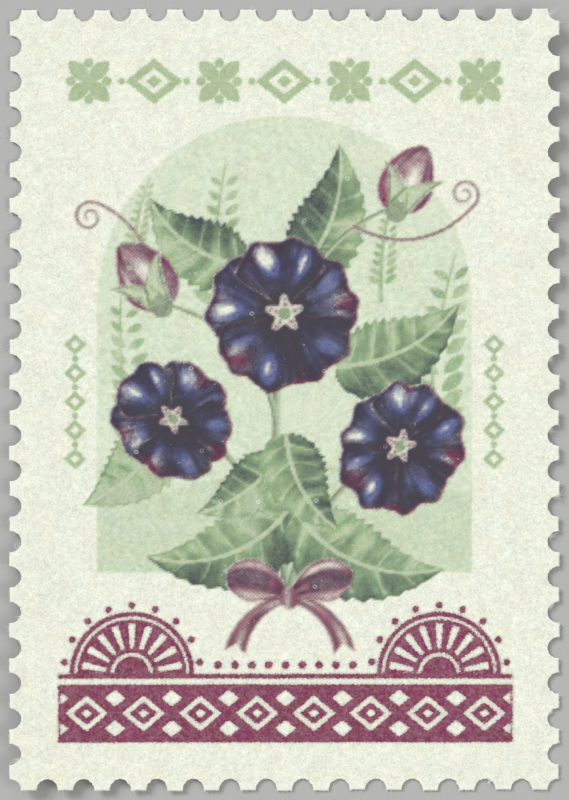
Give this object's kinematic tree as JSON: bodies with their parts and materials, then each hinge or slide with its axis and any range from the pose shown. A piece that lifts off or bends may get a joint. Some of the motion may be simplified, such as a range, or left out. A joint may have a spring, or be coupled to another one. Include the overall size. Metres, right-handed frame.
{
  "type": "postage stamp",
  "caption": "Small upright perforated postage stamp: a thin sheet of gummed paper, printed on its face, with torn perforation teeth on all sides and a slight curl.",
  "frame": {"origin": "middle of the underside, where the sheet lies flat", "axes": "+Z out of the printed face, +Y to the top of the stamp, +X to its right"},
  "size_m": [0.0262, 0.0372, 0.0007],
  "materials": {
    "stamp_paper": "matt uncoated stamp paper, off-white with a faint green cast",
    "printing_ink": "screened offset print on the paper in green, claret, blue and black inks, slightly smoother than the bare paper",
    "dried_gum": "thin dried gum on the back, glossy and faintly yellow"
  },
  "bodies": {
    "root": {"stamp_sheet": "stamp_paper"}
  },
  "joints": []
}
